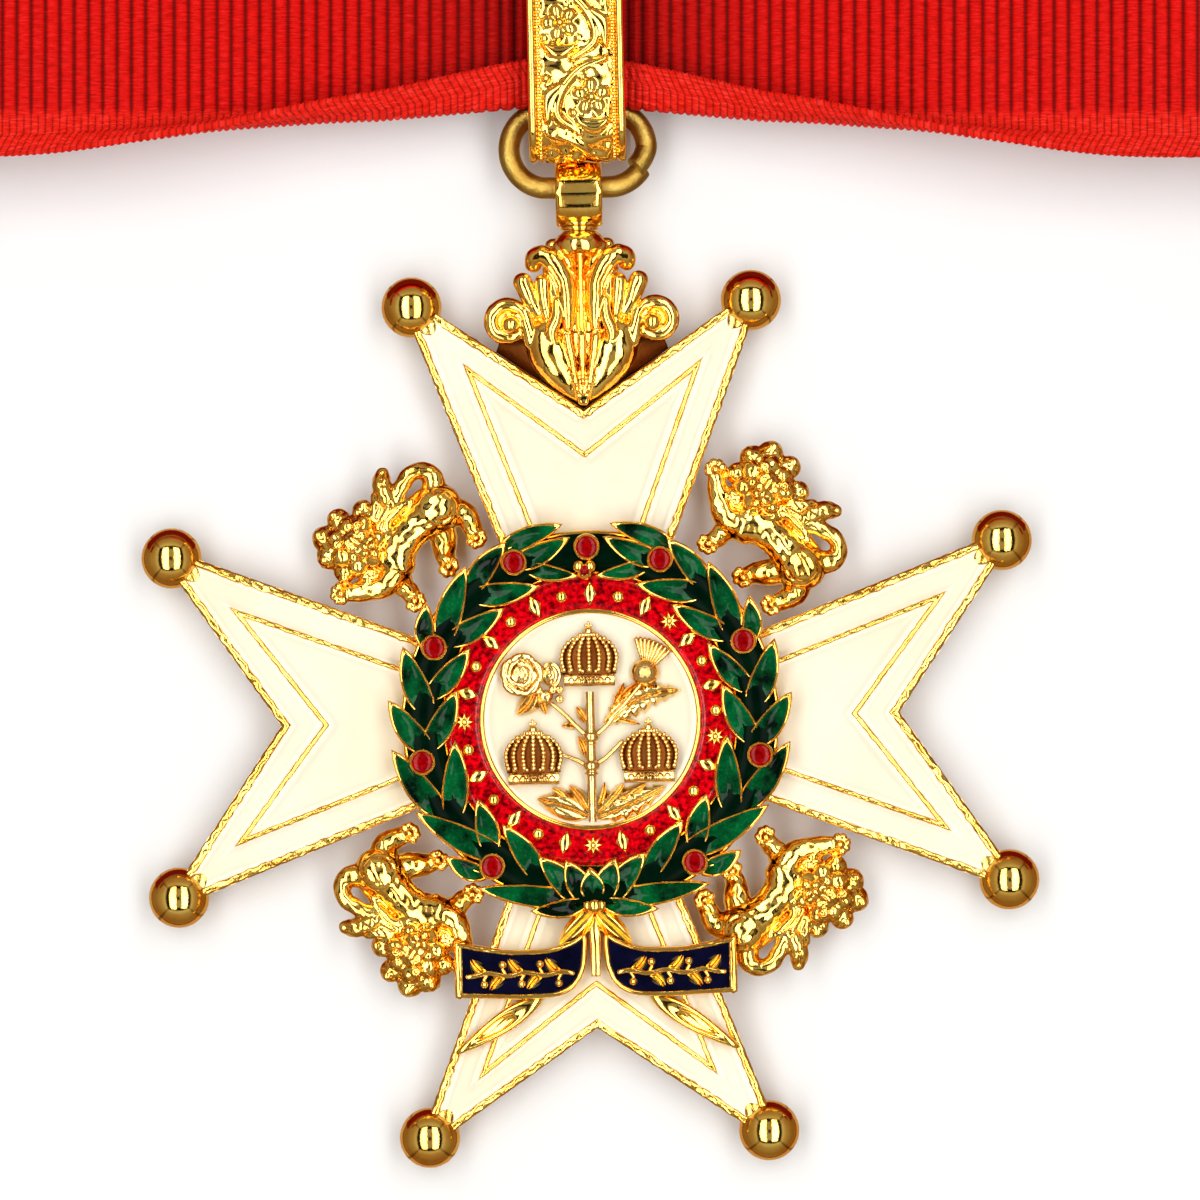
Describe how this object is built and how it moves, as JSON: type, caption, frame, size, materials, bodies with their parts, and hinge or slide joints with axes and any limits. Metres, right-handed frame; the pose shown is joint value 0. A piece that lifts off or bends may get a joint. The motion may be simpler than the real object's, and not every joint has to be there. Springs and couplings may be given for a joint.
{
  "type": "order neck badge on its neck ribbon",
  "caption": "Enamelled eight-pointed cross with laurel wreath, lions and scroll, hung by a leafy mount, oval ring and long bail from a flat loop of ribbed neck ribbon.",
  "frame": {"origin": "centre of the round back plate, in the plane of the surface that the badge lies on", "axes": "+X to the right of the badge and along the ribbon, +Y from the cross towards the ribbon, +Z out of the face of the badge"},
  "size_m": [0.2321, 0.1014, 0.011],
  "materials": {
    "gold": "polished yellow gilding over cast metal",
    "dull_gold": "duller, brushed gilding of the jump ring",
    "cream_enamel": "glossy opaque cream enamel",
    "green_enamel": "glossy dark green translucent enamel",
    "red_enamel": "glossy translucent red enamel over a grained ground",
    "navy_enamel": "glossy navy enamel",
    "berry_red": "glossy translucent red drops of enamel",
    "red_ribbon": "ribbed grosgrain ribbon, bright red, with stitched edges",
    "clasp_metal": "plain satin brass"
  },
  "bodies": {
    "root": {"cross_frame": "gold", "arm_band_top": "cream_enamel", "arm_band_left": "cream_enamel", "arm_band_bottom": "cream_enamel", "arm_band_right": "cream_enamel", "arm_field_top": "cream_enamel", "arm_field_left": "cream_enamel", "arm_field_bottom": "cream_enamel", "arm_field_right": "cream_enamel", "back_plate": "gold", "centre_disc": "gold", "red_ring": "red_enamel", "cream_disc": "cream_enamel", "sceptre": "gold", "crown_top": "gold", "crown_left": "gold", "crown_right": "gold", "rose": "gold", "thistle": "gold", "laurel_wreath": "gold", "leaf_enamel_left": "green_enamel", "leaf_enamel_right": "green_enamel", "berry_1": "berry_red", "berry_2": "berry_red", "berry_3": "berry_red", "berry_4": "berry_red", "berry_5": "berry_red", "berry_6": "berry_red", "berry_7": "berry_red", "berry_8": "berry_red", "berry_9": "berry_red", "lion_upper_left": "gold", "lion_upper_right": "gold", "lion_lower_left": "gold", "lion_lower_right": "gold", "scroll_left": "gold", "scroll_right": "gold", "scroll_enamel_left": "navy_enamel", "scroll_enamel_right": "navy_enamel", "scroll_tie": "gold", "leafy_mount": "gold", "mount_loop": "gold", "jump_ring": "dull_gold", "ribbon_bail": "gold", "neck_ribbon": "red_ribbon", "ribbon_clasp": "clasp_metal"}
  },
  "joints": []
}
